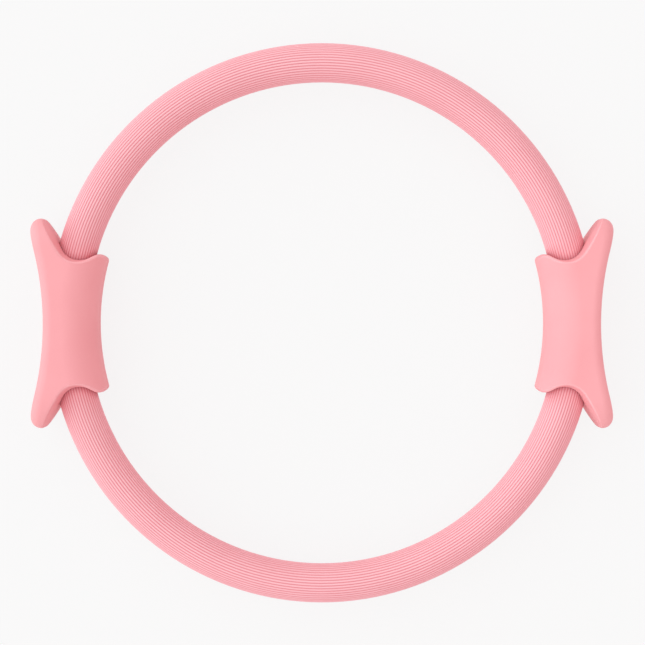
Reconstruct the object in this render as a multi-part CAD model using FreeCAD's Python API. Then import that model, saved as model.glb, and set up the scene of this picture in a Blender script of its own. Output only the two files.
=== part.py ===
import FreeCAD, Part
import math
import os

from FreeCAD import Vector

# Pilates ring: two sprung half hoops in ribbed sleeves, clamped in two moulded handles.
# The ring lies flat with its axis along +Z and a handle at each end of X. The origin is on
# the ground under the ring's centre. Lengths are millimetres, angles are degrees.

# Half hoop: an arc whose centre stands a little off the ring's own centre
HOOP_RADIUS = 166.0
HOOP_SPREAD = 5.0

# Ribbed sleeve, measured over the crests of its ribs
SLEEVE_DIAMETER = 25.5
RIB_COUNT = 44
RIB_DEPTH = 0.45
RIB_LAND_SHARE = 0.45
BORE_CORNER = 0.8

# Two spring leaves in each half hoop
LEAF_WIDTH = 15.0
LEAF_THICKNESS = 2.2
LEAF_GAP = 0.3

# Moulded ferrule on each end of a leaf pair, closed behind and flanged at its mouth
FERRULE_LENGTH = 22.0
FERRULE_BACK = 2.0
FERRULE_WALL = 3.5
FERRULE_CORNER = 2.0
FLANGE_THICKNESS = 3.0
FLANGE_SETBACK = 0.4

# Two rivets through each ferrule and its leaves
RIVET_DIAMETER = 4.0
RIVET_HEAD_DIAMETER = 6.4
RIVET_HEAD_HEIGHT = 1.2
RIVET_FIRST = 6.5
RIVET_PITCH = 7.5

# Handle: a spool with two concave faces, cut by a scoop at each end
HANDLE_DEPTH = 52.0
HANDLE_LENGTH = 137.0
END_FLAT = 11.5
OUTER_STANDOFF = 1.3
OUTER_FACE_RADIUS = 196.0
OUTER_EDGE_RADIUS = 6.5
INNER_STANDOFF = 6.9
INNER_FACE_RADIUS = 155.0
INNER_EDGE_RADIUS = 21.0
WING_THICKNESS = 10.3
WING_LENGTH = 26.8
SCOOP_SETBACK = 8.8
SCOOP_RADIUS = 14.0
MOUTH_CROWN = 150.0
INNER_SLOPE = 26.0
INNER_TIP_RADIUS = 4.5
INNER_TIP_TURN = 24.0
RIM_RADIUS = 1.6

# Shell walls and the ribs that cradle the ferrules
SHELL_WALL = 2.6
MOUTH_WALL = 5.5
CRADLE_RIB = 2.4

# Soft palm pad let into the outer face
PAD_RECESS = 1.6
PAD_CROWN = 0.8
PAD_EDGE_RADIUS = 0.7
PAD_CORNER = 7.0
PAD_SIDE_MARGIN = 2.5
PAD_END_MARGIN = 14.0

# Four screws close each handle from the rear
SCREW_DIAMETER = 3.2
SCREW_GRIP = 11.0
SCREW_HEAD_DIAMETER = 6.2
SCREW_HEAD_HEIGHT = 2.4
SCREW_RECESS_WIDTH = 1.0
SCREW_RECESS_SPAN = 3.6
SCREW_RECESS_DEPTH = 1.3
COUNTERBORE_DEPTH = 9.5
BOSS_WALL = 1.6
INNER_SCREW_HEIGHT = 17.0
INNER_SCREW_SETBACK = 8.6
WING_SCREW_RISE = 7.0
WING_SCREW_CLEARANCE = 0.4

# Clearances: pieces that shift against each other, fixed pieces, and the overrun of cuts
RUNNING_FIT = 0.3
SNUG_FIT = 0.1
OVERRUN = 10.0

# Two points closer than this are the same point
TOUCH = 0.0001

# Start, middle and end of a round corner
CORNER_SHARES = (0, 0.5, 1)

UP = Vector(0, 0, 1)
ALONG = Vector(0, 1, 0)
OUTWARD = Vector(1, 0, 0)
HALF_TURN = 180.0
QUARTER_TURN = 90.0

hoop_centre = Vector(0, HOOP_SPREAD, 0)
half_depth = HANDLE_DEPTH / 2
half_length = HANDLE_LENGTH / 2
sleeve_radius = SLEEVE_DIAMETER / 2
outer_reach = HOOP_RADIUS + sleeve_radius + OUTER_STANDOFF
inner_reach = HOOP_RADIUS - sleeve_radius - INNER_STANDOFF
outer_axis = outer_reach + OUTER_FACE_RADIUS
inner_axis = inner_reach - INNER_FACE_RADIUS
slot_half_height = LEAF_GAP / 2 + LEAF_THICKNESS + RUNNING_FIT
slot_half_width = LEAF_WIDTH / 2 + RUNNING_FIT
ferrule_half_height = slot_half_height + FERRULE_WALL
ferrule_half_width = slot_half_width + FERRULE_WALL
scoop_height = half_length - WING_LENGTH
cavity_height = scoop_height - MOUTH_WALL
boss_radius = SCREW_HEAD_DIAMETER / 2 + SNUG_FIT + BOSS_WALL


def hoop_angle(length):
    """Angle that a length along the hoop's centreline covers."""
    return math.degrees(length / HOOP_RADIUS)


def outer_face_at(height):
    """Distance from the ring's centre to a handle's outer face at a height along the handle."""
    return outer_axis - math.sqrt(OUTER_FACE_RADIUS ** 2 - height ** 2)


def sleeve_outside_at(height):
    """Distance from the ring's centre to a sleeve's outside at a height along the handle."""
    return math.sqrt((HOOP_RADIUS + sleeve_radius) ** 2 - (height - HOOP_SPREAD) ** 2)


def inner_face_at(height):
    """Distance from the ring's centre to a handle's inner face at a height along the handle."""
    return inner_axis + math.sqrt(INNER_FACE_RADIUS ** 2 - height ** 2)


def line(start, end):
    """Straight edge between two points."""
    return Part.LineSegment(start, end).toShape()


def arc(start, middle, end):
    """Round edge through three points."""
    return Part.Arc(start, middle, end).toShape()


def polar(centre, radius, angle):
    """Point at a radius and angle round a centre, in a plane square to Z."""
    turn = math.radians(angle)
    return centre + Vector(radius * math.cos(turn), radius * math.sin(turn), 0)


def rounded_outline(half_first, half_second, corner, place):
    """Closed wire of a rectangle with round corners, with each point set by place(first, second)."""
    edges = []
    previous = None
    first_point = None
    for quadrant in range(4):
        start_angle = quadrant * QUARTER_TURN
        sign_first = 1 if quadrant in (0, 3) else -1
        sign_second = 1 if quadrant in (0, 1) else -1
        centre = Vector(sign_first * (half_first - corner), sign_second * (half_second - corner), 0)
        flat = [polar(centre, corner, start_angle + share * QUARTER_TURN) for share in CORNER_SHARES]
        start, middle, end = [place(point.x, point.y) for point in flat]
        if previous is not None:
            edges.append(line(previous, start))
        else:
            first_point = start
        edges.append(arc(start, middle, end))
        previous = end
    edges.append(line(previous, first_point))
    return Part.Wire(edges)


def hoop_point(radial, sideways):
    """Point of a hoop section at the hoop's right-hand end, from its centreline."""
    return hoop_centre + Vector(HOOP_RADIUS + radial, 0, sideways)


def along_hoop(face, start, end):
    """Solid that a hoop section sweeps between two angles round the half hoop's centre."""
    turned = face.copy()
    turned.rotate(hoop_centre, UP, start)
    return turned.revolve(hoop_centre, UP, end - start)


def half_turn_about(shape, axis):
    """Copy of a shape turned half round an axis through the ring's centre."""
    turned = shape.copy()
    turned.rotate(Vector(), axis, HALF_TURN)
    return turned


def ribbed_outline():
    """Outline of the sleeve: ribs with a narrow flat crest and sloping sides that meet in grooves."""
    pitch = 2 * math.pi / RIB_COUNT
    half_land = RIB_LAND_SHARE * pitch / 2
    points = []
    for rib in range(RIB_COUNT):
        middle = rib * pitch
        for radius, turn in ((sleeve_radius - RIB_DEPTH, middle - pitch / 2),
                             (sleeve_radius, middle - half_land),
                             (sleeve_radius, middle + half_land)):
            points.append(hoop_point(radius * math.sin(turn), radius * math.cos(turn)))
    return Part.makePolygon(points + points[:1])


def sleeve():
    """Upper sleeve, from one ferrule's flange to the other, with a bore for the leaves."""
    bore = rounded_outline(slot_half_height, slot_half_width, BORE_CORNER, hoop_point)
    start = hoop_angle(FERRULE_LENGTH + RUNNING_FIT)
    return along_hoop(Part.Face([ribbed_outline(), bore]), start, HALF_TURN - start)


def rivet_angles():
    """Angles of the upper right ferrule's rivets round the half hoop's centre."""
    return [hoop_angle(RIVET_FIRST), hoop_angle(RIVET_FIRST + RIVET_PITCH)]


def radial_cylinder(radius, start, end, angle):
    """Cylinder that runs outwards from the hoop's centre, between two distances from the centreline."""
    base = polar(hoop_centre, HOOP_RADIUS + start, angle)
    outwards = polar(Vector(), 1, angle)
    return Part.makeCylinder(radius, end - start, base, outwards)


def leaf(inner_edge):
    """Upper spring leaf whose inner face lies at a distance from the hoop's centreline."""
    corners = [(inner_edge, -LEAF_WIDTH / 2), (inner_edge + LEAF_THICKNESS, -LEAF_WIDTH / 2),
               (inner_edge + LEAF_THICKNESS, LEAF_WIDTH / 2), (inner_edge, LEAF_WIDTH / 2)]
    points = [hoop_point(*corner) for corner in corners]
    start = hoop_angle(FERRULE_BACK + RUNNING_FIT)
    strip = along_hoop(Part.Face(Part.makePolygon(points + points[:1])), start, HALF_TURN - start)
    for angle in rivet_angles():
        for place in (angle, HALF_TURN - angle):
            strip = strip.cut(radial_cylinder(RIVET_DIAMETER / 2 + RUNNING_FIT, -ferrule_half_height,
                                              ferrule_half_height, place))
    return strip


def ferrule_envelope(clearance):
    """Outside of the upper right ferrule's body, grown by a clearance."""
    section = Part.Face(rounded_outline(ferrule_half_height + clearance, ferrule_half_width + clearance,
                                        FERRULE_CORNER + clearance, hoop_point))
    return along_hoop(section, hoop_angle(-clearance), hoop_angle(FERRULE_LENGTH + clearance))


def hoop_disc(radius, start, end):
    """Round section swept along the hoop between two lengths from its right-hand end."""
    circle = Part.Circle(hoop_point(0, 0), ALONG, radius).toShape()
    return along_hoop(Part.Face(Part.Wire([circle])), hoop_angle(start), hoop_angle(end))


def ferrule():
    """Upper right ferrule: a socket for the leaf pair, with the flange that stops the sleeve."""
    slot = Part.Face(rounded_outline(slot_half_height, slot_half_width, BORE_CORNER, hoop_point))
    flange_start = FERRULE_LENGTH - FLANGE_THICKNESS
    body = ferrule_envelope(0)
    body = body.fuse(hoop_disc(sleeve_radius - FLANGE_SETBACK, flange_start, FERRULE_LENGTH))
    body = body.cut(along_hoop(slot, hoop_angle(FERRULE_BACK), hoop_angle(FERRULE_LENGTH + OVERRUN)))
    hole_radius = RIVET_DIAMETER / 2 + SNUG_FIT
    head_radius = RIVET_HEAD_DIAMETER / 2 + SNUG_FIT
    seat = ferrule_half_height - RIVET_HEAD_HEIGHT - SNUG_FIT
    for angle in rivet_angles():
        body = body.cut(radial_cylinder(hole_radius, -ferrule_half_height, ferrule_half_height, angle))
        for start, end in ((seat, seat + OVERRUN), (-seat - OVERRUN, -seat)):
            body = body.cut(radial_cylinder(head_radius, start, end, angle))
    return body.removeSplitter()


def rivets():
    """The two rivets of the upper right ferrule, with both heads let into it."""
    top = ferrule_half_height - SNUG_FIT
    seat = top - RIVET_HEAD_HEIGHT
    group = []
    for angle in rivet_angles():
        rivet = radial_cylinder(RIVET_DIAMETER / 2, -seat, seat, angle)
        for start, end in ((seat, top), (-top, -seat)):
            rivet = rivet.fuse(radial_cylinder(RIVET_HEAD_DIAMETER / 2, start, end, angle))
        group.append(rivet.removeSplitter())
    return Part.makeCompound(group)


def face_cylinder(axis, radius):
    """Cylinder square to the ring that hollows one face of a handle, with its seam on the far side."""
    base = Vector(axis, 0, -half_depth - OVERRUN)
    cylinder = Part.makeCylinder(radius, HANDLE_DEPTH + 2 * OVERRUN, base, UP)
    if axis < HOOP_RADIUS:
        cylinder.rotate(base, UP, HALF_TURN)
    return cylinder


def cylinder_edges(body, radius):
    """Edges of a body's cylindrical face of a given radius."""
    for face in body.Faces:
        if isinstance(face.Surface, Part.Cylinder) and abs(face.Surface.Radius - radius) < TOUCH:
            return face.Edges
    raise ValueError("no cylindrical face of radius %s" % radius)


def inner_plane_point(along, up):
    """Point of a handle's end outline, set well inside the handle's inner face."""
    return Vector(inner_axis, along, up)


def plate(half_along, half_up, corner):
    """Bar of rounded outline that runs outwards through a whole handle."""
    outline = rounded_outline(half_along, half_up, corner, inner_plane_point)
    return Part.Face(outline).extrude(OUTWARD * (outer_axis - inner_axis))


def block(low, high):
    """Box between two corners."""
    size = high - low
    return Part.makeBox(size.x, size.y, size.z, low)


def spool(wall, outer_wall):
    """Right handle before its ends are scooped, drawn in by a wall, with its own at the outer face."""
    outer_radius = OUTER_FACE_RADIUS + outer_wall
    outer_half = plate(half_length, half_depth - wall, half_depth - END_FLAT / 2 - wall)
    outer_half = outer_half.cut(face_cylinder(outer_axis, outer_radius))
    outer_half = outer_half.makeFillet(OUTER_EDGE_RADIUS - wall, cylinder_edges(outer_half, outer_radius))
    inner_radius = INNER_FACE_RADIUS + wall
    corner = Vector(outer_axis, half_length + OVERRUN, half_depth - wall)
    inner_half = block(Vector(inner_axis, -corner.y, -corner.z), corner)
    inner_half = inner_half.cut(face_cylinder(inner_axis, inner_radius))
    face_edges = cylinder_edges(inner_half, inner_radius)
    long_edges = [edge for edge in face_edges if abs(edge.CenterOfMass.z) > corner.z - TOUCH]
    inner_half = inner_half.makeFillet(INNER_EDGE_RADIUS - wall, long_edges)
    return outer_half.common(inner_half).removeSplitter().Solids[0]


def tangent_angle(point, centre, radius):
    """Slope of the line that runs along a circle's underside and then up to a point."""
    reach = point - centre
    return math.degrees(math.atan2(reach.y, reach.x) + math.asin(radius / math.hypot(reach.x, reach.y)))


def inner_tip_centre(scoop_centre):
    """Centre of the round tip that runs from the scoop's inner flank to the handle's inner face."""
    start = polar(scoop_centre, SCOOP_RADIUS + INNER_TIP_RADIUS, -QUARTER_TURN - INNER_SLOPE)
    step = polar(Vector(), 1, HALF_TURN - INNER_SLOPE)
    offset = start - Vector(inner_axis, 0, start.z)
    reach = INNER_FACE_RADIUS + INNER_TIP_RADIUS
    lean = offset.dot(step)
    run = -lean - math.sqrt(lean ** 2 + reach ** 2 - offset.dot(offset))
    return start + step * run


def scoop():
    """Cutter for the mouth at the upper end of the right handle, crowned from front to rear."""
    centre = Vector(HOOP_RADIUS - SCOOP_SETBACK, scoop_height + SCOOP_RADIUS, 0)
    wing_tip = Vector(outer_face_at(half_length) - WING_THICKNESS, half_length, 0)
    outer_slope = tangent_angle(wing_tip, centre, SCOOP_RADIUS)
    top = half_length + OVERRUN
    inner_start = polar(centre, SCOOP_RADIUS, -QUARTER_TURN - INNER_SLOPE)
    outer_start = polar(centre, SCOOP_RADIUS, -QUARTER_TURN + outer_slope)
    outer_run = (top - outer_start.y) / math.tan(math.radians(outer_slope))
    outer_end = Vector(outer_start.x + outer_run, top, centre.z)
    bottom = arc(inner_start, polar(centre, SCOOP_RADIUS, -QUARTER_TURN), outer_start)
    tip_centre = inner_tip_centre(centre)
    face_lean = math.degrees(math.asin(tip_centre.y / (INNER_FACE_RADIUS + INNER_TIP_RADIUS)))
    tip_end = HALF_TURN + face_lean - INNER_TIP_TURN
    tip_angles = (tip_end, QUARTER_TURN, QUARTER_TURN - INNER_SLOPE)
    tip = [polar(tip_centre, INNER_TIP_RADIUS, angle) for angle in tip_angles]
    inner_end = polar(tip[0], OVERRUN, tip_end + QUARTER_TURN)
    inner_top = Vector(inner_end.x, top, centre.z)
    inner_edges = [line(inner_top, inner_end), line(inner_end, tip[0]), arc(*tip), line(tip[-1], inner_start)]
    outline = Part.Wire(inner_edges + [bottom, line(outer_start, outer_end), line(outer_end, inner_top)])
    crown_axis = Vector(0, scoop_height - MOUTH_CROWN, 0)
    lean = math.degrees(math.asin((half_depth + OVERRUN) / MOUTH_CROWN))
    face = Part.Face(outline)
    face.rotate(crown_axis, OUTWARD, -lean)
    return face.revolve(crown_axis, OUTWARD, 2 * lean)


def touches(shape, point):
    """Whether a point lies on a shape."""
    return shape.distToShape(Part.Vertex(point))[0] < TOUCH


def middle_of_face(face):
    """Point in the middle of a face's parameter range."""
    first_u, last_u, first_v, last_v = face.ParameterRange
    return face.valueAt((first_u + last_u) / 2, (first_v + last_v) / 2)


def rim_edges(body, cutter):
    """Edges where the faces left by a cutter meet the rest of a body."""
    cut_faces = [face for face in body.Faces if touches(cutter.Shells[0], middle_of_face(face))]
    edges = [edge for face in cut_faces for edge in face.Edges]
    return [edge for edge in edges if sum(edge.isSame(other) for other in edges) == 1]


def handle_body():
    """Solid outside of the right handle, with both scoops and their round rims."""
    body = spool(0, 0)
    cutter = scoop()
    for end in (cutter, half_turn_about(cutter, OUTWARD)):
        body = body.cut(end).Solids[0]
        body = body.makeFillet(RIM_RADIUS, rim_edges(body, end))
    return body


def both_ends(shape):
    """A shape of the handle's upper end together with its twin at the lower end."""
    return [shape, half_turn_about(shape, OUTWARD)]


def screw_places():
    """Axes of the handle's four screws."""
    wing_height = scoop_height + WING_SCREW_RISE
    places = [(inner_face_at(INNER_SCREW_HEIGHT) + INNER_SCREW_SETBACK, INNER_SCREW_HEIGHT),
              (sleeve_outside_at(wing_height) + WING_SCREW_CLEARANCE + SCREW_DIAMETER / 2, wing_height)]
    return [Vector(reach, side * height, 0) for reach, height in places for side in (1, -1)]


def upright(radius, place, low, high):
    """Cylinder along Z between two levels."""
    return Part.makeCylinder(radius, high - low, Vector(place.x, place.y, low), UP)


def pad_space(clearance):
    """Curved plate on the outer face, proud of it by the pad's crown and grown by a clearance."""
    curve = face_cylinder(outer_axis, OUTER_FACE_RADIUS + PAD_RECESS + clearance)
    curve = curve.cut(face_cylinder(outer_axis, OUTER_FACE_RADIUS - PAD_CROWN))
    pad_half_depth = half_depth - OUTER_EDGE_RADIUS - PAD_SIDE_MARGIN
    return curve.common(plate(half_length - PAD_END_MARGIN + clearance, pad_half_depth + clearance,
                              PAD_CORNER + clearance)).Solids[0]


def pad():
    """Palm pad of the right handle, with a round edge where it stands proud."""
    body = pad_space(0)
    return body.makeFillet(PAD_EDGE_RADIUS, cylinder_edges(body, OUTER_FACE_RADIUS - PAD_CROWN))


def handle_inside():
    """Hollow of the handle: an open cavity less the ribs and bosses that stand in it."""
    reach = Vector(outer_axis, cavity_height, half_depth)
    cavity = spool(SHELL_WALL, PAD_RECESS + SHELL_WALL).common(block(Vector(0, -reach.y, -reach.z), reach))
    flange_level = FERRULE_LENGTH - FLANGE_THICKNESS - RUNNING_FIT
    rib_heights = [(0, HOOP_SPREAD - RUNNING_FIT),
                   (HOOP_SPREAD + flange_level - CRADLE_RIB, HOOP_SPREAD + flange_level)]
    for low, high in rib_heights:
        rib = block(Vector(0, low, -half_depth), Vector(outer_axis, high, half_depth))
        for twin in both_ends(rib):
            cavity = cavity.cut(twin)
    for place in screw_places():
        cavity = cavity.cut(upright(boss_radius, place, -half_depth, half_depth))
    return cavity


def handle_shells():
    """Front and rear shells of the right handle."""
    body = handle_body()
    hollow = body.cut(handle_inside())
    flange_level = FERRULE_LENGTH - FLANGE_THICKNESS - RUNNING_FIT
    bore = hoop_disc(sleeve_radius + RUNNING_FIT, flange_level, half_length)
    for cutter in both_ends(bore) + both_ends(ferrule_envelope(RUNNING_FIT)) + [pad_space(SNUG_FIT)]:
        hollow = hollow.cut(cutter)
    below = block(Vector(0, -half_length, -half_depth - OVERRUN), Vector(outer_axis, half_length, 0))
    front = hollow.cut(below)
    rear = hollow.common(below)
    seat = COUNTERBORE_DEPTH - half_depth
    for place in screw_places():
        front = front.cut(upright(SCREW_DIAMETER / 2 + SNUG_FIT, place, -OVERRUN, SCREW_GRIP + RUNNING_FIT))
        rear = rear.cut(upright(SCREW_DIAMETER / 2 + RUNNING_FIT, place, -half_depth, OVERRUN))
        rear = rear.cut(upright(SCREW_HEAD_DIAMETER / 2 + SNUG_FIT, place, -half_depth - OVERRUN, seat))
    return [front, rear]


def screws():
    """The right handle's four screws, with crossed drive slots."""
    seat = COUNTERBORE_DEPTH - half_depth
    top = seat - SCREW_HEAD_HEIGHT
    group = []
    for place in screw_places():
        screw = upright(SCREW_DIAMETER / 2, place, seat, SCREW_GRIP)
        screw = screw.fuse(upright(SCREW_HEAD_DIAMETER / 2, place, top, seat))
        for span, width in ((SCREW_RECESS_SPAN, SCREW_RECESS_WIDTH), (SCREW_RECESS_WIDTH, SCREW_RECESS_SPAN)):
            corner = Vector(span / 2, width / 2, 0)
            low = place - corner + UP * (top - OVERRUN)
            high = place + corner + UP * (top + SCREW_RECESS_DEPTH)
            screw = screw.cut(block(low, high))
        group.append(screw.removeSplitter())
    return Part.makeCompound(group)


def hoop_nodes():
    """Sleeves, leaves, ferrules and rivets of both half hoops."""
    upper = {
        "sleeve": sleeve(),
        "outer_leaf": leaf(LEAF_GAP / 2),
        "inner_leaf": leaf(-LEAF_GAP / 2 - LEAF_THICKNESS),
    }
    nodes = {}
    for name, shape in upper.items():
        nodes["upper_" + name] = shape
        nodes["lower_" + name] = half_turn_about(shape, UP)
    for name, shape in (("ferrule", ferrule()), ("rivets", rivets())):
        twin = half_turn_about(shape, ALONG)
        nodes["upper_right_" + name] = shape
        nodes["upper_left_" + name] = twin
        nodes["lower_left_" + name] = half_turn_about(shape, UP)
        nodes["lower_right_" + name] = half_turn_about(twin, UP)
    return nodes


def handle_nodes():
    """Shells, pads and screws of both handles."""
    front, rear = handle_shells()
    right = {
        "front_shell": front,
        "rear_shell": rear,
        "palm_pad": pad(),
        "shell_screws": screws(),
    }
    nodes = {}
    for name, shape in right.items():
        nodes["right_" + name] = shape
        nodes["left_" + name] = half_turn_about(shape, UP)
    return nodes


def main():
    """Build every piece, raise it to stand on the ground and write it as a STEP file."""
    os.makedirs("parts", exist_ok=True)
    for name, shape in sorted({**hoop_nodes(), **handle_nodes()}.items()):
        shape.translate(UP * half_depth)
        shape.exportStep(os.path.join("parts", name + ".step"))
        print(name, len(shape.Solids), "solids", round(shape.Volume), "mm3", "valid", shape.isValid())


main()
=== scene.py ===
import logging
import math
from dataclasses import dataclass
from enum import Enum
from typing import Any, Mapping, Sequence

import bpy
import numpy as np
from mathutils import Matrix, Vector
from mathutils.bvhtree import BVHTree


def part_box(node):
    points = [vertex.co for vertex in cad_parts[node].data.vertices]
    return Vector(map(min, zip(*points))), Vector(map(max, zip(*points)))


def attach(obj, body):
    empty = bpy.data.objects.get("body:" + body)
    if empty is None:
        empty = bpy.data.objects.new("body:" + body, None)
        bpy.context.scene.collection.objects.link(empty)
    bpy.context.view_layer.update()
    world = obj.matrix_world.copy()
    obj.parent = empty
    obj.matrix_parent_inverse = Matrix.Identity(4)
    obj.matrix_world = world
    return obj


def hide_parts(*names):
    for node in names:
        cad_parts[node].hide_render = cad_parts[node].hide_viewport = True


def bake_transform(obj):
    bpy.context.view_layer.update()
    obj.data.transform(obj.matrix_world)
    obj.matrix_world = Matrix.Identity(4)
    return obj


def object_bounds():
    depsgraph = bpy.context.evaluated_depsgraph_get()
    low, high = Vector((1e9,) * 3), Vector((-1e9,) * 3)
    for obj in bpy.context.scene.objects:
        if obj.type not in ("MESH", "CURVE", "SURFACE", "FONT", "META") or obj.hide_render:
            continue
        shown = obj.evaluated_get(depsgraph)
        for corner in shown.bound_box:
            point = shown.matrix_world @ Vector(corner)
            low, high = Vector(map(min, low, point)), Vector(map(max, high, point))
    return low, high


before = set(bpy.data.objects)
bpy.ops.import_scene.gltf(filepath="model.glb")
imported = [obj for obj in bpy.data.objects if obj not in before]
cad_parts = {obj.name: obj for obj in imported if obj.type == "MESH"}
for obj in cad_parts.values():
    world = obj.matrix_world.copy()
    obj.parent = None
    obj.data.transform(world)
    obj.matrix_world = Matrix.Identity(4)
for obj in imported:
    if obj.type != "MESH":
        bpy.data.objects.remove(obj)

LOG = logging.getLogger("pilates_ring")
CAD_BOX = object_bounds()
MIDDLE_LEVEL = (CAD_BOX[0][2] + CAD_BOX[1][2]) / 2
PHOTO_PIXELS = 645

# Layers of noise in a grain, a cloud and a stain, how rough a noise is and how rounded its cells are
GRAIN_LAYERS = 2.0
CLOUD_LAYERS = 3.0
STAIN_LAYERS = 4.0
NOISE_ROUGHNESS = 0.55
CELL_SMOOTHNESS = 0.6

# Stretch of a noise that takes a finish from one colour to the other
MAIN_RANGE = (0.3, 0.7)

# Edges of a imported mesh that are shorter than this, in metres, count as this long
SHORTEST_EDGE = 1e-6

Colour = tuple[float, float, float]
Range = tuple[float, float]
Faces = list[tuple[int, ...]]


class Named(Enum):
    """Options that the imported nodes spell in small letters."""

    @property
    def word(self) -> str:
        """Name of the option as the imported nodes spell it."""
        return self.name.lower()


class Half(Named):
    """The two half hoops, with the way that each lies from the handles' middle line."""

    UPPER = 1
    LOWER = -1


class Side(Named):
    """The two handles, with the way that each lies from the middle of the ring."""

    LEFT = -1
    RIGHT = 1


class Layer(Named):
    """The two spring leaves of a half hoop, with the way that each lies from the hoop's line."""

    OUTER = 1
    INNER = -1


class Carrier(Enum):
    """What a mesh keeps a number for."""

    CORNER = "POINT"
    FACE = "FACE"


class Wire:
    """A node's output socket that takes Python arithmetic."""

    def __init__(self, tree: "FinishTree", socket: bpy.types.NodeSocket) -> None:
        """Keep the socket and the tree that new Math nodes go into."""
        self.tree = tree
        self.socket = socket

    def maths(self, operation: str, first: Any, second: Any) -> "Wire":
        """One Math node on two values or wires."""
        return self.tree.add("ShaderNodeMath", {"operation": operation}, {0: first, 1: second})

    def __add__(self, other: Any) -> "Wire":
        """This plus other."""
        return self.maths("ADD", self, other)

    def __radd__(self, other: Any) -> "Wire":
        """Other plus this."""
        return self.maths("ADD", other, self)

    def __sub__(self, other: Any) -> "Wire":
        """This less other."""
        return self.maths("SUBTRACT", self, other)

    def __rsub__(self, other: Any) -> "Wire":
        """Other less this."""
        return self.maths("SUBTRACT", other, self)

    def __mul__(self, other: Any) -> "Wire":
        """This times other."""
        return self.maths("MULTIPLY", self, other)

    def __rmul__(self, other: Any) -> "Wire":
        """Other times this."""
        return self.maths("MULTIPLY", other, self)

    def __abs__(self) -> "Wire":
        """Size of this without its sign."""
        return self.maths("ABSOLUTE", self, 0.0)

    def larger(self, other: "Wire") -> "Wire":
        """The larger of this and other."""
        return self.maths("MAXIMUM", self, other)

    def eased(self, low: float, high: float) -> "Wire":
        """Smooth step of this, from 0 at low to 1 at high."""
        sockets = {"Value": self, "From Min": low, "From Max": high}
        return self.tree.add("ShaderNodeMapRange", {"interpolation_type": "SMOOTHSTEP"}, sockets)


class FinishTree:
    """Node tree of a material or of the studio's surroundings, with short ways to add what they need."""

    def __init__(self, owner: bpy.types.Material | bpy.types.World) -> None:
        """Empty the owner's tree.

        Args:
            owner: the material or surroundings to fill.
        """
        self.owner = owner
        self.owner.use_nodes = True
        self.nodes = self.owner.node_tree.nodes
        self.nodes.clear()

    def add(self, kind: str, settings: Mapping[str, Any], sockets: Mapping[int | str, Any],
            output: int | str = 0) -> Wire:
        """Add one node.

        Args:
            kind: Blender's name for the node's type.
            settings: the node's own settings, set before its sockets. A ramp's are under "stops".
            sockets: values or wires for its inputs, by name or number.
            output: name or number of the output to hand back.

        Returns:
            The chosen output, or the first input of a node that has no outputs.
        """
        node = self.nodes.new(kind)
        for name, value in settings.items():
            if name == "stops":
                self.set_stops(node.color_ramp, value)
            else:
                setattr(node, name, value)
        for key, value in sockets.items():
            socket = node.inputs[key]
            if isinstance(value, Wire):
                self.owner.node_tree.links.new(value.socket, socket)
            elif isinstance(value, tuple) and socket.type == "RGBA":
                socket.default_value = (*value, 1.0)
            else:
                socket.default_value = value
        return Wire(self, node.outputs[output] if node.outputs else node.inputs[0])

    @staticmethod
    def set_stops(ramp: bpy.types.ColorRamp, stops: Sequence[tuple[float, Colour]]) -> None:
        """Give a ramp its stops.

        Args:
            ramp: the ramp to set.
            stops: each stop's place and colour, in order.
        """
        while len(ramp.elements) < len(stops):
            ramp.elements.new(1.0)
        for element, (place, colour) in zip(ramp.elements, stops):
            element.position = place
            element.color = (*colour, 1.0)

    def place(self) -> Wire:
        """Place on the piece in metres, which moves with it."""
        return self.add("ShaderNodeTexCoord", {}, {}, "Object")

    def level(self) -> Wire:
        """Height of the place on the piece."""
        return self.add("ShaderNodeSeparateXYZ", {}, {0: self.place()}, "Z")

    def attribute(self, name: str) -> Wire:
        """Number that the mesh carries under a name."""
        return self.add("ShaderNodeAttribute", {"attribute_name": name}, {}, "Fac")

    def grain(self, size: float, layers: float = GRAIN_LAYERS, place: Wire | None = None) -> Wire:
        """Noise between 0 and 1 with grains of a size in metres, read at a place or on the piece itself."""
        sockets = {"Scale": 1.0 / size, "Detail": layers, "Roughness": NOISE_ROUGHNESS}
        return self.add("ShaderNodeTexNoise", {}, {"Vector": place or self.place(), **sockets})

    def cells(self, size: float) -> Wire:
        """Distance from the middle of rounded cells of a size in metres."""
        sockets = {"Vector": self.place(), "Scale": 1.0 / size, "Smoothness": CELL_SMOOTHNESS}
        return self.add("ShaderNodeTexVoronoi", {"feature": "SMOOTH_F1"}, sockets)

    def mixed(self, share: Any, first: Any, second: Any) -> Wire:
        """Two colours or colour wires mixed, with a share of the second from 0 to 1."""
        return self.add("ShaderNodeMix", {"data_type": "RGBA"}, {0: share, 6: first, 7: second}, 2)

    def bump(self, height: Wire, depth: float, strength: float = 1.0) -> Wire:
        """Surface normal of a relief whose height of 1 stands a depth in metres."""
        return self.add("ShaderNodeBump", {}, {"Height": height, "Distance": depth, "Strength": strength})

    def seen(self) -> Wire:
        """1 for what the camera sees, straight or in a gloss or through glass, and 0 for what only lights.

        Returns:
            The wire that carries it.
        """
        straight, glossy, through = (self.add("ShaderNodeLightPath", {}, {}, f"Is {kind} Ray")
                                     for kind in ("Camera", "Glossy", "Transmission"))
        return straight.larger(glossy.larger(through))

    def close(self, shader: Wire) -> bpy.types.Material | bpy.types.World:
        """Lead a shader to the tree's output.

        Args:
            shader: the shader that shows.

        Returns:
            The owner of the tree.
        """
        kind = "World" if isinstance(self.owner, bpy.types.World) else "Material"
        self.add("ShaderNodeOutput" + kind, {}, {"Surface": shader})
        return self.owner

    def finish(self, sockets: Mapping[int | str, Any]) -> bpy.types.Material:
        """Close the tree with one surface shader that has these values and wires."""
        return self.close(self.add("ShaderNodeBsdfPrincipled", {}, sockets))


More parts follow.
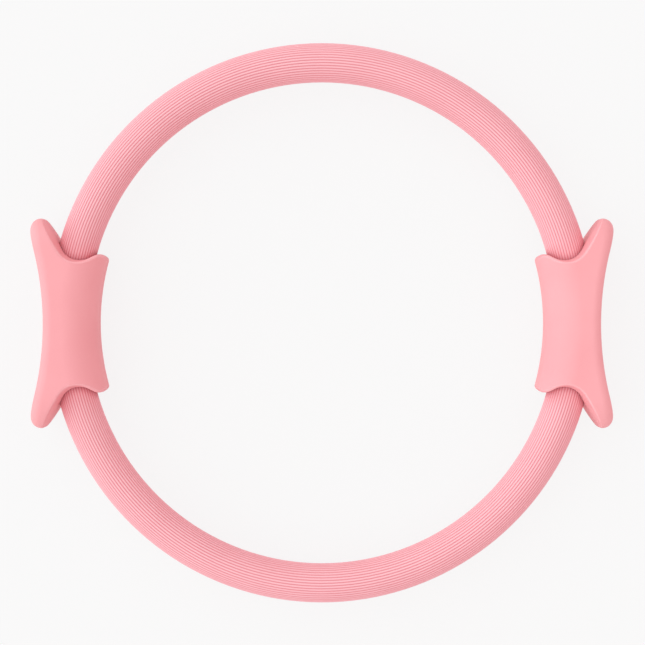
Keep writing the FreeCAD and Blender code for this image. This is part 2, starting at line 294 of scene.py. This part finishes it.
@dataclass(frozen=True)
class Finish:
    """A finish that pieces are dressed in."""

    name: str

    def material(self) -> bpy.types.Material:
        """The finish as a material, made once."""
        made = bpy.data.materials.get(self.name)
        return made or self.make(FinishTree(bpy.data.materials.new(self.name)))

    def make(self, tree: FinishTree) -> bpy.types.Material:
        """Fill the tree of the material and hand the material back."""
        raise NotImplementedError

    def dress(self, piece: bpy.types.Object) -> None:
        """Put the finish on every face of a piece."""
        piece.data.materials.clear()
        piece.data.materials.append(self.material())


@dataclass(frozen=True)
class SoftTouchMoulding(Finish):
    """Moulded shell with a matt spark grain, a painted highlight on the rims of its mouths and a fine line
    where its halves meet.
    """

    body: Colour = (0.930, 0.400, 0.428)
    pale: Colour = (0.950, 0.425, 0.452)
    cloud_size: float = 0.038
    # Painted highlight on the rims of the mouths, and how much of it shows
    rubbed: Colour = (1.000, 0.520, 0.550)
    rubbed_share: float = 0.6
    seam: Colour = (0.640, 0.220, 0.245)
    seam_share: float = 0.75
    seam_level: float = MIDDLE_LEVEL
    seam_half_width: float = 0.00016
    seam_core_share: float = 0.4
    grain_size: float = 0.00042
    pit_range: Range = (0.25, 0.5)
    pit_share: float = 0.06
    roughness: float = 0.52
    cloud_roughness: float = 0.06
    grain_roughness: float = 0.08
    grain_height: float = 0.5
    relief: float = 0.00005
    relief_strength: float = 0.7
    shine: float = 0.25

    def make(self, tree: FinishTree) -> bpy.types.Material:
        """Clouded pink with a grain, with a painted highlight on the rims and darker along the seam.

        Args:
            tree: the material's tree.

        Returns:
            The material.
        """
        clouds = tree.grain(self.cloud_size, CLOUD_LAYERS)
        grain = tree.grain(self.grain_size)
        pits = 1.0 - grain.eased(*self.pit_range)
        from_seam = abs(tree.level() - self.seam_level)
        near_seam = 1.0 - from_seam.eased(self.seam_half_width * self.seam_core_share, self.seam_half_width)
        colour = tree.mixed(clouds.eased(*MAIN_RANGE), self.body, self.pale)
        colour = tree.mixed(pits * self.pit_share, colour, self.seam)
        # Painted highlight: paler colour on the faces that bend as tightly as the mouths' rims
        colour = tree.mixed(tree.attribute("rim") * self.rubbed_share, colour, self.rubbed)
        colour = tree.mixed(near_seam * self.seam_share, colour, self.seam)
        height = grain * self.grain_height - near_seam
        return tree.finish({
            "Base Color": colour,
            "Roughness": self.roughness + clouds * self.cloud_roughness + grain * self.grain_roughness,
            "Normal": tree.bump(height, self.relief, self.relief_strength),
            "Specular IOR Level": self.shine,
        })


@dataclass(frozen=True)
class RibbedFoam(Finish):
    """Soft sleeve with a painted highlight on its ribs, painted shade in its grooves and painted shade where
    the handles close on it.
    """

    # Colours by height on a rib: painted shade in the groove and a painted highlight on the ridge, over the
    # flank's own pink
    groove: Colour = (0.735, 0.225, 0.270)
    flank: Colour = (0.950, 0.410, 0.455)
    flank_height: float = 0.5
    ridge: Colour = (0.990, 0.600, 0.645)
    # Painted shade where the sleeve runs into the handles' mouths, and how much of it shows
    shelter: Colour = (0.480, 0.100, 0.130)
    shelter_share: float = 0.7
    cloud_size: float = 0.03
    cloud_range: Range = (0.35, 0.75)
    cell_size: float = 0.00028
    shade_share: float = 0.05
    roughness: float = 0.60
    cell_roughness: float = 0.14
    cloud_roughness: float = 0.05
    rib_relief: float = 0.00022
    cell_relief: float = 0.000024
    shine: float = 0.12

    def make(self, tree: FinishTree) -> bpy.types.Material:
        """Pink by height on the rib, painted shade in the grooves and a painted highlight on the ridges, with
        foam cells, a slight change from rib to rib and painted shade by the handles.

        Args:
            tree: the material's tree.

        Returns:
            The material.
        """
        height = tree.attribute("rib_height")
        clouds = tree.grain(self.cloud_size, CLOUD_LAYERS)
        cells = tree.cells(self.cell_size)
        # Painted shade in the grooves and a painted highlight on the ridges, by each corner's height on its
        # rib
        stops = [(0.0, self.groove), (self.flank_height, self.flank), (1.0, self.ridge)]
        colour = tree.add("ShaderNodeValToRGB", {"stops": stops}, {"Fac": height}, "Color")
        shades = clouds.eased(*self.cloud_range) + tree.attribute("rib_tone") + (1.0 - cells)
        colour = tree.mixed(shades * self.shade_share, colour, self.groove)
        # Painted shade near the handles' mouths, from each corner's closeness to the shells
        colour = tree.mixed(tree.attribute("shelter") * self.shelter_share, colour, self.shelter)
        relief_in_metres = height * self.rib_relief + cells * self.cell_relief
        return tree.finish({
            "Base Color": colour,
            "Roughness": self.roughness + cells * self.cell_roughness + clouds * self.cloud_roughness,
            "Normal": tree.bump(relief_in_metres, 1.0),
            "Specular IOR Level": self.shine,
        })


@dataclass(frozen=True)
class GripRubber(Finish):
    """Matt rubber of the palm pads, with a fine pebble."""

    body: Colour = (0.860, 0.345, 0.378)
    pale: Colour = (0.905, 0.395, 0.428)
    cloud_size: float = 0.02
    pebble_size: float = 0.0011
    pebble_range: Range = (0.1, 0.55)
    pebble_share: float = 0.7
    roughness: float = 0.74
    pebble_polish: float = 0.12
    pebble_relief: float = 0.00012
    relief_strength: float = 0.8
    shine: float = 0.35

    def make(self, tree: FinishTree) -> bpy.types.Material:
        """Pebbled pink, paler on the pebbles.

        Args:
            tree: the material's tree.

        Returns:
            The material.
        """
        clouds = tree.grain(self.cloud_size, CLOUD_LAYERS)
        top = 1.0 - tree.cells(self.pebble_size).eased(*self.pebble_range)
        paleness = top * self.pebble_share + clouds * (1.0 - self.pebble_share)
        return tree.finish({
            "Base Color": tree.mixed(paleness, self.body, self.pale),
            "Roughness": self.roughness - top * self.pebble_polish,
            "Normal": tree.bump(top, self.pebble_relief, self.relief_strength),
            "Specular IOR Level": self.shine,
        })


@dataclass(frozen=True)
class GlassFibre(Finish):
    """Drawn glass fibre strip with straight fibres along it."""

    resin: Colour = (0.56, 0.54, 0.33)
    fibre: Colour = (0.74, 0.72, 0.52)
    cloud_size: float = 0.012
    fibre_width: float = 0.00035
    change_along_share: float = 0.01
    fibre_share: float = 0.8
    roughness: float = 0.34
    fibre_roughness: float = 0.2
    fibre_relief: float = 0.00003
    relief_strength: float = 0.6

    def make(self, tree: FinishTree) -> bpy.types.Material:
        """Streaks across the strip's width, with a cloudy resin.

        Args:
            tree: the material's tree.

        Returns:
            The material.
        """
        along = tree.attribute("along") * self.change_along_share
        on_strip = tree.add("ShaderNodeCombineXYZ", {}, {"X": tree.attribute("across"), "Y": along})
        streaks = tree.grain(self.fibre_width, CLOUD_LAYERS, on_strip)
        clouds = tree.grain(self.cloud_size, CLOUD_LAYERS)
        paleness = streaks.eased(*MAIN_RANGE) * self.fibre_share + clouds * (1.0 - self.fibre_share)
        return tree.finish({
            "Base Color": tree.mixed(paleness, self.resin, self.fibre),
            "Roughness": self.roughness + streaks * self.fibre_roughness,
            "Normal": tree.bump(streaks, self.fibre_relief, self.relief_strength),
        })


@dataclass(frozen=True)
class MouldedNylon(Finish):
    """Natural nylon of the hoop's end pieces."""

    body: Colour = (0.70, 0.69, 0.64)
    pale: Colour = (0.80, 0.79, 0.75)
    flow_size: float = 0.006
    grain_size: float = 0.0005
    roughness: float = 0.40
    flow_roughness: float = 0.12
    grain_roughness: float = 0.06
    grain_relief: float = 0.00003
    relief_strength: float = 0.5

    def make(self, tree: FinishTree) -> bpy.types.Material:
        """Milky nylon with flow marks.

        Args:
            tree: the material's tree.

        Returns:
            The material.
        """
        flow = tree.grain(self.flow_size, STAIN_LAYERS)
        grain = tree.grain(self.grain_size)
        return tree.finish({
            "Base Color": tree.mixed(flow.eased(*MAIN_RANGE), self.body, self.pale),
            "Roughness": self.roughness + flow * self.flow_roughness + grain * self.grain_roughness,
            "Normal": tree.bump(grain, self.grain_relief, self.relief_strength),
        })


@dataclass(frozen=True)
class PlatedSteel(Finish):
    """Zinc plated steel of the rivets and screws."""

    plate: Colour = (0.56, 0.56, 0.57)
    bright: Colour = (0.72, 0.72, 0.72)
    stain_size: float = 0.0025
    scratch_size: float = 0.00015
    roughness: float = 0.26
    stain_roughness: float = 0.16
    scratch_roughness: float = 0.08
    scratch_relief: float = 0.00001
    relief_strength: float = 0.4

    def make(self, tree: FinishTree) -> bpy.types.Material:
        """Metal with stains and fine scratches.

        Args:
            tree: the material's tree.

        Returns:
            The material.
        """
        stains = tree.grain(self.stain_size, STAIN_LAYERS)
        scratches = tree.grain(self.scratch_size)
        return tree.finish({
            "Base Color": tree.mixed(stains.eased(*MAIN_RANGE), self.plate, self.bright),
            "Metallic": 1.0,
            "Roughness": self.roughness + stains * self.stain_roughness + scratches * self.scratch_roughness,
            "Normal": tree.bump(scratches, self.scratch_relief, self.relief_strength),
        })


@dataclass(frozen=True)
class PaleFloor(Finish):
    """Pale floor that glows where it is seen and still takes the ring's shadow."""

    colour: Colour = (0.947, 0.947, 0.947)
    shade: Colour = (0.93, 0.93, 0.93)
    bounce: Colour = (0.88, 0.82, 0.82)
    glow: float = 0.9
    grain_size: float = 0.004
    grain_share: float = 0.5
    roughness: float = 0.9

    def make(self, tree: FinishTree) -> bpy.types.Material:
        """Even glow over a lit surface, which sends a little less light back to the ring than it shows.

        Args:
            tree: the material's tree.

        Returns:
            The material.
        """
        seen = tree.seen()
        grain = tree.grain(self.grain_size, STAIN_LAYERS)
        paper = tree.mixed(grain.eased(*MAIN_RANGE) * self.grain_share, self.colour, self.shade)
        lit = tree.mixed(seen, self.bounce, paper)
        surface = tree.add("ShaderNodeBsdfPrincipled", {}, {"Base Color": lit, "Roughness": self.roughness})
        glow = tree.add("ShaderNodeEmission", {}, {"Color": self.colour, "Strength": 1.0})
        return tree.close(tree.add("ShaderNodeMixShader", {}, {0: seen * self.glow, 1: surface, 2: glow}))


SHELL = SoftTouchMoulding("soft_touch_moulding")
FOAM = RibbedFoam("ribbed_foam")
RUBBER = GripRubber("grip_rubber")
FIBRE = GlassFibre("glass_fibre")
NYLON = MouldedNylon("moulded_nylon")
STEEL = PlatedSteel("plated_steel")
FLOOR = PaleFloor("pale_floor")


def make_piece(name: str, points: np.ndarray, faces: Faces, finish: Finish,
               sharp_degrees: float = 35.0) -> bpy.types.Object:
    """Make a smooth mesh piece.

    Args:
        name: the piece's name.
        points: its corners in metres, one row each.
        faces: the corners of each face.
        finish: what it is dressed in.
        sharp_degrees: edges that turn by more than this stay sharp.

    Returns:
        The piece, linked to the scene.
    """
    mesh = bpy.data.meshes.new(name)
    mesh.from_pydata(points.tolist(), [], [list(face) for face in faces])
    mesh.validate()
    mesh.shade_smooth()
    mesh.set_sharp_from_angle(angle=math.radians(sharp_degrees))
    piece = bpy.data.objects.new(name, mesh)
    bpy.context.scene.collection.objects.link(piece)
    finish.dress(piece)
    return piece


def give_numbers(piece: bpy.types.Object, name: str, values: np.ndarray,
                 carrier: Carrier = Carrier.CORNER) -> None:
    """Store a number for each corner or face of a piece, under the name that its finish asks for."""
    attribute = piece.data.attributes.new(name, "FLOAT", carrier.value)
    attribute.data.foreach_set("value", values.astype(np.float32).ravel())


def even_turns(count: int) -> np.ndarray:
    """Angles that divide a full turn evenly."""
    return 2 * math.pi * np.arange(count) / count


def rows_around(reach: np.ndarray) -> np.ndarray:
    """Rows of distance outwards and height for corners spaced evenly round a line, from each one's reach."""
    turn = even_turns(len(reach))
    return np.stack((reach * np.cos(turn), reach * np.sin(turn)), axis=1)


def tube_faces(rings: int, around: int) -> Faces:
    """Faces of an open tube.

    Args:
        rings: how many rings of corners it has.
        around: corners in each ring.

    Returns:
        Four-sided faces that look away from the middle of the tube.
    """
    faces = []
    for ring in range(rings - 1):
        for corner in range(around):
            after = (corner + 1) % around
            low, high = ring * around, (ring + 1) * around
            faces.append((low + corner, low + after, high + after, high + corner))
    return faces


def turned_over(faces: Faces) -> Faces:
    """The same faces, looking the other way."""
    return [tuple(reversed(face)) for face in faces]


def outward_bends(piece: bpy.types.Object) -> np.ndarray:
    """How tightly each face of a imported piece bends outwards.

    Args:
        piece: a piece made of triangles.

    Returns:
        One over the radius of each face's tightest outward bend, per metre.
    """
    mesh = piece.data
    normals = np.empty(len(mesh.loops) * 3, np.float32)
    mesh.corner_normals.foreach_get("vector", normals)
    corners = np.empty(len(mesh.loops), np.int32)
    mesh.loops.foreach_get("vertex_index", corners)
    places = np.empty(len(mesh.vertices) * 3, np.float32)
    mesh.vertices.foreach_get("co", places)
    normals = normals.reshape(-1, 3, 3)
    places = places.reshape(-1, 3)[corners].reshape(-1, 3, 3)
    turned = np.roll(normals, -1, axis=1) - normals
    moved = np.roll(places, -1, axis=1) - places
    bends = (turned * moved).sum(axis=2) / np.maximum((moved ** 2).sum(axis=2), SHORTEST_EDGE ** 2)
    return bends.max(axis=1)


class ShellSurface:
    """The moulded shells of both handles, for measuring how near other pieces lie to them."""

    def __init__(self) -> None:
        """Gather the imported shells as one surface."""
        points, faces = [], []
        for side in Side:
            for face in ("front", "rear"):
                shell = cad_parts[f"{side.word}_{face}_shell"]
                start = len(points)
                points += [shell.matrix_world @ corner.co for corner in shell.data.vertices]
                faces += [[start + corner for corner in polygon.vertices] for polygon in shell.data.polygons]
        self.surface = BVHTree.FromPolygons(points, faces)

    def closeness(self, points: np.ndarray, reach: float) -> np.ndarray:
        """How near points lie to a shell.

        Args:
            points: the points to measure, one row each.
            reach: distance that counts as clear of the shells.

        Returns:
            1 for a point on a shell, falling to 0 at the reach.
        """
        nearest = [self.surface.find_nearest(Vector(point), reach)[3] for point in points]
        distance = np.array([reach if found is None else found for found in nearest])
        return (1.0 - distance / reach) ** 2


@dataclass(frozen=True)
class HoopSizes:
    """Driving sizes of a half hoop in metres, and the rest worked out from them."""

    radius: float = 0.166
    spread: float = 0.005
    sleeve_radius: float = 0.01275
    rib_count: int = 44
    rib_depth: float = 0.00045
    rib_fullness: float = 1.8
    leaf_thickness: float = 0.0022
    leaf_width: float = 0.015
    leaf_gap: float = 0.0003
    leaf_edge: float = 0.00035
    slack: float = 0.0003
    gripped_run: float = 0.030

    @property
    def bore_half_height(self) -> float:
        """Half of the sleeve's bore, across both leaves."""
        return self.leaf_gap / 2 + self.leaf_thickness + self.slack

    @property
    def bore_half_width(self) -> float:
        """Half of the sleeve's bore, along the leaves' width."""
        return self.leaf_width / 2 + self.slack

    @property
    def sleeve_end(self) -> float:
        """Angle at which the upper sleeve starts inside a handle."""
        return self.end_angle("upper_sleeve", self.radius - self.sleeve_radius)

    @property
    def mouth_angle(self) -> float:
        """Angle at which the upper sleeve leaves a handle's grip."""
        return self.sleeve_end + self.gripped_run / self.radius

    def end_angle(self, node: str, inner_radius: float) -> float:
        """Angle from the handles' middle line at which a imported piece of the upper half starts."""
        return math.asin((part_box(node)[0].y - self.spread) / inner_radius)


@dataclass
class HalfHoop:
    """One half of the hoop: a ribbed sleeve over two spring leaves, built as two quarters."""

    half: Half
    shells: ShellSurface
    sizes: HoopSizes = HoopSizes()
    # Distance from the shells at which the painted shade by the handles fades out
    shelter_reach: float = 0.0052
    mouth_run: float = 0.040
    mouth_stations: int = 26
    stations: int = 32
    crown_step: float = 0.002
    samples_per_rib: int = 6
    bore_samples: int = 24
    tone_seed: int = 7
    bore_number: float = 0.5
    leaf_sharp_degrees: float = 30.0

    def angles(self, start: float) -> np.ndarray:
        """Stations of a quarter, close together by the handle and in its last step at the crown.

        Args:
            start: angle at which the quarter starts inside the handle.

        Returns:
            Angles about the hoop's centre, up to the crown.
        """
        crown = math.pi / 2
        clear = start + self.mouth_run / self.sizes.radius
        return np.concatenate((np.linspace(start, clear, self.mouth_stations, endpoint=False),
                               np.linspace(clear, crown - self.crown_step, self.stations), (crown,)))

    def sweep(self, angles: np.ndarray, section: np.ndarray) -> np.ndarray:
        """Carry a section along the quarter on the right of the upper half.

        Args:
            angles: stations about the hoop's centre.
            section: rows of distance outwards and height from the hoop's line.

        Returns:
            One row of points per corner, station by station.
        """
        reach = self.sizes.radius + section[:, 0]
        points = np.empty((len(angles), len(section), 3))
        points[..., 0] = np.cos(angles)[:, None] * reach
        points[..., 1] = self.sizes.spread + np.sin(angles)[:, None] * reach
        points[..., 2] = MIDDLE_LEVEL + section[:, 1]
        return points.reshape(-1, 3)

    def settle(self, points: np.ndarray, faces: Faces, side: Side) -> tuple[np.ndarray, Faces]:
        """Mirror the upper right quarter to a side of this half, turning its faces over where needed."""
        placed = points * np.array((side.value, self.half.value, 1.0))
        return placed, faces if side.value * self.half.value > 0 else turned_over(faces)

    def join(self, piece: bpy.types.Object, side: Side, node: str) -> None:
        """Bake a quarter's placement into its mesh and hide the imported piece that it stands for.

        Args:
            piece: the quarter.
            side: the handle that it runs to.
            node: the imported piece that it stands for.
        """
        sizes = self.sizes
        mouth = (side.value * sizes.radius * math.cos(sizes.mouth_angle),
                 self.half.value * (sizes.spread + sizes.radius * math.sin(sizes.mouth_angle)), MIDDLE_LEVEL)
        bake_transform(piece)
        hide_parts(node)
        LOG.info("%s: %d faces", piece.name, len(piece.data.polygons))

    def rib_heights(self) -> np.ndarray:
        """Height of each corner of the sleeve's outline on its rib, from 0 in a groove to 1 on a ridge."""
        place = np.arange(self.sizes.rib_count * self.samples_per_rib) / self.samples_per_rib % 1.0
        return 1.0 - np.abs(2.0 * place - 1.0) ** self.sizes.rib_fullness

    def bore_reach(self) -> np.ndarray:
        """Reach of the bore's corners, which stand on a rectangle round both leaves.

        Returns:
            One distance from the hoop's line per corner.
        """
        turn = even_turns(self.bore_samples)
        with np.errstate(divide="ignore"):
            to_flat = self.sizes.bore_half_height / np.abs(np.cos(turn))
            to_side = self.sizes.bore_half_width / np.abs(np.sin(turn))
        return np.minimum(to_flat, to_side)

    def end_faces(self, outer: int, inner: int, around: int, at_crown: bool) -> Faces:
        """Faces between the outline and the bore at one end of a quarter.

        Args:
            outer: first corner of the outline's ring.
            inner: first corner of the bore's ring.
            around: corners in the outline.
            at_crown: whether this is the end at the crown.

        Returns:
            One face for each side of the bore.
        """
        step = around // self.bore_samples
        faces = []
        for corner in range(self.bore_samples):
            after = (corner + 1) % self.bore_samples
            run = [outer + (corner * step + move) % around for move in range(step + 1)]
            faces.append((*run, inner + after, inner + corner))
        return faces if at_crown else turned_over(faces)

    def along_sleeve(self, around: np.ndarray, rings: int) -> np.ndarray:
        """Numbers round the sleeve's outside repeated ring by ring, and an even one for its bore."""
        return np.concatenate((np.tile(around, rings), np.full(rings * self.bore_samples, self.bore_number)))

    def build_sleeve(self, side: Side) -> None:
        """Build a ribbed quarter of the sleeve, with its bore and end faces.

        Args:
            side: the handle that it runs to.
        """
        sizes = self.sizes
        heights = self.rib_heights()
        outline = rows_around(sizes.sleeve_radius - sizes.rib_depth * (1.0 - heights))
        angles = self.angles(sizes.sleeve_end)
        rings, around = len(angles), len(outline)
        bore_outline = rows_around(self.bore_reach())
        points = np.concatenate((self.sweep(angles, outline), self.sweep(angles, bore_outline)))
        bore = rings * around
        bore_faces = turned_over([tuple(bore + corner for corner in face)
                                  for face in tube_faces(rings, self.bore_samples)])
        last = rings - 1
        faces = (tube_faces(rings, around) + bore_faces + self.end_faces(0, bore, around, False)
                 + self.end_faces(last * around, bore + last * self.bore_samples, around, True))
        points, faces = self.settle(points, faces, side)
        piece = make_piece(f"{self.half.word}_{side.word}_ribbed_sleeve", points, faces, FOAM)
        tones = np.random.default_rng(self.tone_seed).random(sizes.rib_count).repeat(self.samples_per_rib)
        give_numbers(piece, "rib_height", self.along_sleeve(heights, rings))
        give_numbers(piece, "rib_tone", self.along_sleeve(tones, rings))
        # Painted shade by the handles: each corner's closeness to the shells, for the foam's finish
        give_numbers(piece, "shelter", self.shells.closeness(points, self.shelter_reach))
        self.join(piece, side, self.half.word + "_sleeve")

    def leaf_section(self, layer: Layer) -> np.ndarray:
        """Section of a spring leaf, a flat strip with broken edges.

        Args:
            layer: which of the two leaves.

        Returns:
            Rows of distance outwards and height from the hoop's line.
        """
        height, width, edge = self.sizes.leaf_thickness / 2, self.sizes.leaf_width / 2, self.sizes.leaf_edge
        section = np.array(((height, -width + edge), (height, width - edge),
                            (height - edge, width), (-height + edge, width),
                            (-height, width - edge), (-height, -width + edge),
                            (-height + edge, -width), (height - edge, -width)))
        section[:, 0] += layer.value * (self.sizes.leaf_gap / 2 + height)
        return section

    def build_leaf(self, side: Side, layer: Layer) -> None:
        """Build a quarter of one spring leaf.

        Args:
            side: the handle that it runs to.
            layer: which of the two leaves.
        """
        section = self.leaf_section(layer)
        inner_radius = self.sizes.radius + section[:, 0].min()
        angles = self.angles(self.sizes.end_angle(f"upper_{layer.word}_leaf", inner_radius))
        around, rings = len(section), len(angles)
        first_end = tuple(reversed(range(around)))
        crown_end = tuple((rings - 1) * around + corner for corner in range(around))
        faces = tube_faces(rings, around) + [first_end, crown_end]
        points, faces = self.settle(self.sweep(angles, section), faces, side)
        name = f"{self.half.word}_{side.word}_{layer.word}_spring_leaf"
        piece = make_piece(name, points, faces, FIBRE, self.leaf_sharp_degrees)
        give_numbers(piece, "across", np.tile(section[:, 1], rings))
        give_numbers(piece, "along", (angles * self.sizes.radius).repeat(around))
        self.join(piece, side, f"{self.half.word}_{layer.word}_leaf")

    def build(self) -> None:
        """Build both quarters of the sleeve and of each leaf."""
        for side in Side:
            self.build_sleeve(side)
            for layer in Layer:
                self.build_leaf(side, layer)


@dataclass
class PalmPad:
    """Soft pad let into the hollow outer face of a handle."""

    side: Side
    face_radius: float = 0.196
    recess: float = 0.0016
    crown: float = 0.0008
    crown_fullness: float = 2.4
    corner: float = 0.007
    edge: float = 0.0007
    waist: float = 0.00025
    shoulder_share: float = 0.25
    back_shares: tuple[float, ...] = (0.0, 0.5, 1.0)
    wall_shares: tuple[Range, ...] = ((1.0, 1.0), (0.985, 0.3), (0.955, 0.0))
    front_shares: tuple[float, ...] = (0.9, 0.8, 0.65, 0.45, 0.25, 0.0)
    around: int = 160
    longest_step: float = 0.003
    sharp_degrees: float = 50.0

    @property
    def half_length(self) -> float:
        """Half of the pad's length along the handle."""
        low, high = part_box(self.side.word + "_palm_pad")
        return (high.y - low.y) / 2

    @property
    def half_depth(self) -> float:
        """Half of the pad's depth across the handle."""
        low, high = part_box(self.side.word + "_palm_pad")
        return (high.z - low.z) / 2

    @property
    def middle(self) -> Vector:
        """Point of the pad's highest line that lies nearest the ring's middle.

        Returns:
            The point as it lies on the right handle.
        """
        low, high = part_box(self.side.word + "_palm_pad")
        outside = self.side.value * (high.x if self.side is Side.RIGHT else low.x)
        rise = self.face_radius - math.sqrt(self.face_radius ** 2 - self.half_length ** 2)
        return Vector((outside - rise, 0.0, (low.z + high.z) / 2))

    def outline(self) -> np.ndarray:
        """Rounded outline whose long sides draw in a little between the corners.

        Returns:
            Rows along and across the handle.
        """
        straight = np.array((self.half_length - self.corner, self.half_depth - self.corner))
        turn = 2 * math.pi * (np.arange(self.around) + 0.5) / self.around
        bend = np.stack((np.cos(turn), np.sin(turn)), axis=1)
        rounded = np.sign(bend) * straight + bend * self.corner
        rows = []
        for start, end in zip(rounded, np.roll(rounded, -1, axis=0)):
            steps = max(1, round(float(np.linalg.norm(end - start)) / self.longest_step))
            rows += [start + (end - start) * step / steps for step in range(steps)]
        outline = np.array(rows)
        outline[:, 1] *= 1.0 - self.waist / self.half_depth * (1.0 - (outline[:, 0] / self.half_length) ** 2)
        return outline

    def lay(self, flat: np.ndarray, height: float) -> np.ndarray:
        """Bend flat places onto the handle's outer face.

        Args:
            flat: rows along and across.
            height: distance out from the recess floor.

        Returns:
            Points in the ring's frame.
        """
        middle = self.middle
        angle = flat[:, 0] / self.face_radius
        axis = middle.x - self.crown + self.face_radius
        reach = self.face_radius + self.recess - height
        points = np.empty((len(flat), 3))
        points[:, 0] = self.side.value * (axis - reach * np.cos(angle))
        points[:, 1] = reach * np.sin(angle)
        points[:, 2] = middle.z + flat[:, 1]
        return points

    def profile(self) -> list[tuple[float, float]]:
        """Profile from the middle of the pad's back round its edge to the middle of its crowned front.

        Returns:
            The share of the way out to the outline and the height above the recess floor, ring by ring.
        """
        shoulder = self.recess + self.crown * self.shoulder_share
        rise = self.recess + self.crown - shoulder
        back = [(share, 0.0) for share in self.back_shares]
        wall = [(share, shoulder - self.edge * below) for share, below in self.wall_shares]
        front = [(share, shoulder + rise * (1 - share ** self.crown_fullness)) for share in self.front_shares]
        return back + wall + front

    def build(self) -> None:
        """Build the crowned pad ring by ring along its profile."""
        outline = self.outline()
        reach = self.half_length - self.half_depth
        spine = np.stack((np.clip(outline[:, 0], -reach, reach), np.zeros(len(outline))), axis=1)
        rings = [self.lay(spine + (outline - spine) * share, height) for share, height in self.profile()]
        faces = tube_faces(len(rings), len(outline))
        if self.side is Side.LEFT:
            faces = turned_over(faces)
        name = self.side.word + "_crowned_pad"
        piece = make_piece(name, np.concatenate(rings), faces, RUBBER, self.sharp_degrees)
        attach(piece, self.side.word + "_handle")
        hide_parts(self.side.word + "_palm_pad")
        LOG.info("%s: %d faces", piece.name, len(piece.data.polygons))


@dataclass
class Handle:
    """One handle: two moulded shells, their screws and a palm pad."""

    side: Side
    rim_radius: float = 0.0016
    rim_onset_share: float = 0.6
    rim_full_share: float = 0.9

    def rub_rims(self, shell: bpy.types.Object) -> None:
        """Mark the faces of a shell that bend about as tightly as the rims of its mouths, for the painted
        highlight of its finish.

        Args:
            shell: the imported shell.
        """
        # Painted highlight: the share of the rim colour on each face, from how tightly it bends
        tightness = outward_bends(shell) * self.rim_radius
        rubbed = (tightness - self.rim_onset_share) / (self.rim_full_share - self.rim_onset_share)
        give_numbers(shell, "rim", np.clip(rubbed, 0.0, 1.0), Carrier.FACE)

    def build(self) -> None:
        """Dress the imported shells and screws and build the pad."""
        for name, finish in (("front_shell", SHELL), ("rear_shell", SHELL), ("shell_screws", STEEL)):
            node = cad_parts[f"{self.side.word}_{name}"]
            finish.dress(node)
            if finish is SHELL:
                self.rub_rims(node)
            LOG.info("%s_%s: %s", self.side.word, name, finish.name)
        PalmPad(self.side).build()


@dataclass
class HoopEnds:
    """The end pieces and rivets that hold the leaves inside the handles."""

    half: Half

    def build(self) -> None:
        """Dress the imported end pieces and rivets."""
        for side in Side:
            for name, finish in (("ferrule", NYLON), ("rivets", STEEL)):
                node = f"{self.half.word}_{side.word}_{name}"
                finish.dress(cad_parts[node])
                LOG.info("%s: %s", node, finish.name)


@dataclass
class Studio:
    """Pale floor, soft light and the camera that looks down the ring's axis."""

    camera_distance: float = 1.02
    camera_rise: float = 0.012
    sensor_millimetres: float = 36.0
    millimetres_per_pixel: float = 0.6577
    ring_pixel: tuple[float, float] = (321.9, 323.3)
    floor_size: float = 8.0
    floor_gap: float = 0.0004
    fill: float = 0.715
    fill_colour: Colour = (1.19, 1.005, 1.0)
    key_strength: float = 1.9
    key_colour: Colour = (0.72, 1.0, 1.0)
    key_lean_degrees: float = 64.0
    key_turn_degrees: float = 12.0
    key_softness_degrees: float = 110.0

    def build_floor(self) -> None:
        """Lay the floor just under the handles."""
        half, level = self.floor_size / 2, -self.floor_gap
        corners = np.array(((-half, -half, level), (half, -half, level),
                            (half, half, level), (-half, half, level)))
        floor = make_piece("floor", corners, [(0, 1, 2, 3)], FLOOR)

    def build_lights(self) -> None:
        """Hang the soft light on the left and fill the rest evenly, with the floor's colour behind."""
        world = bpy.data.worlds.new("studio")
        bpy.context.scene.world = world
        tree = FinishTree(world)
        even = tree.add("ShaderNodeBackground", {}, {"Color": self.fill_colour, "Strength": self.fill})
        backdrop = tree.add("ShaderNodeBackground", {}, {"Color": FLOOR.colour, "Strength": 1.0})
        tree.close(tree.add("ShaderNodeMixShader", {}, {0: tree.seen(), 1: even, 2: backdrop}))
        lamp = bpy.data.lights.new("key", "SUN")
        lamp.energy = self.key_strength
        lamp.color = self.key_colour
        lamp.angle = math.radians(self.key_softness_degrees)
        key = bpy.data.objects.new("key", lamp)
        key.rotation_euler = (0.0, -math.radians(self.key_lean_degrees), -math.radians(self.key_turn_degrees))
        bpy.context.scene.collection.objects.link(key)

    def build_camera(self) -> None:
        """Set the camera over the ring, framed as the photograph is."""
        lens = bpy.data.cameras.new("camera")
        width = PHOTO_PIXELS * self.millimetres_per_pixel / 1000
        lens.sensor_width = self.sensor_millimetres
        lens.lens = self.sensor_millimetres * self.camera_distance / width
        middle = PHOTO_PIXELS / 2
        lens.shift_x = (middle - self.ring_pixel[0]) / PHOTO_PIXELS
        lens.shift_y = (self.ring_pixel[1] - middle) / PHOTO_PIXELS
        camera = bpy.data.objects.new("camera", lens)
        camera.location = (0.0, self.camera_rise, MIDDLE_LEVEL + self.camera_distance)
        camera.rotation_euler = (-math.atan2(self.camera_rise, self.camera_distance), 0.0, 0.0)
        bpy.context.scene.collection.objects.link(camera)
        bpy.context.scene.camera = camera

    def build(self) -> None:
        """Build the whole studio."""
        bpy.context.scene.view_settings.view_transform = "Standard"
        self.build_floor()
        self.build_lights()
        self.build_camera()
        LOG.info("studio: floor, lights and camera")


def main() -> None:
    """Build and dress the ring, then its studio."""
    logging.basicConfig(level=logging.INFO, format="%(name)s: %(message)s")
    shells = ShellSurface()
    for half in Half:
        HalfHoop(half, shells).build()
        HoopEnds(half).build()
    for side in Side:
        Handle(side).build()
    Studio().build()


if __name__ == "__main__":
    main()
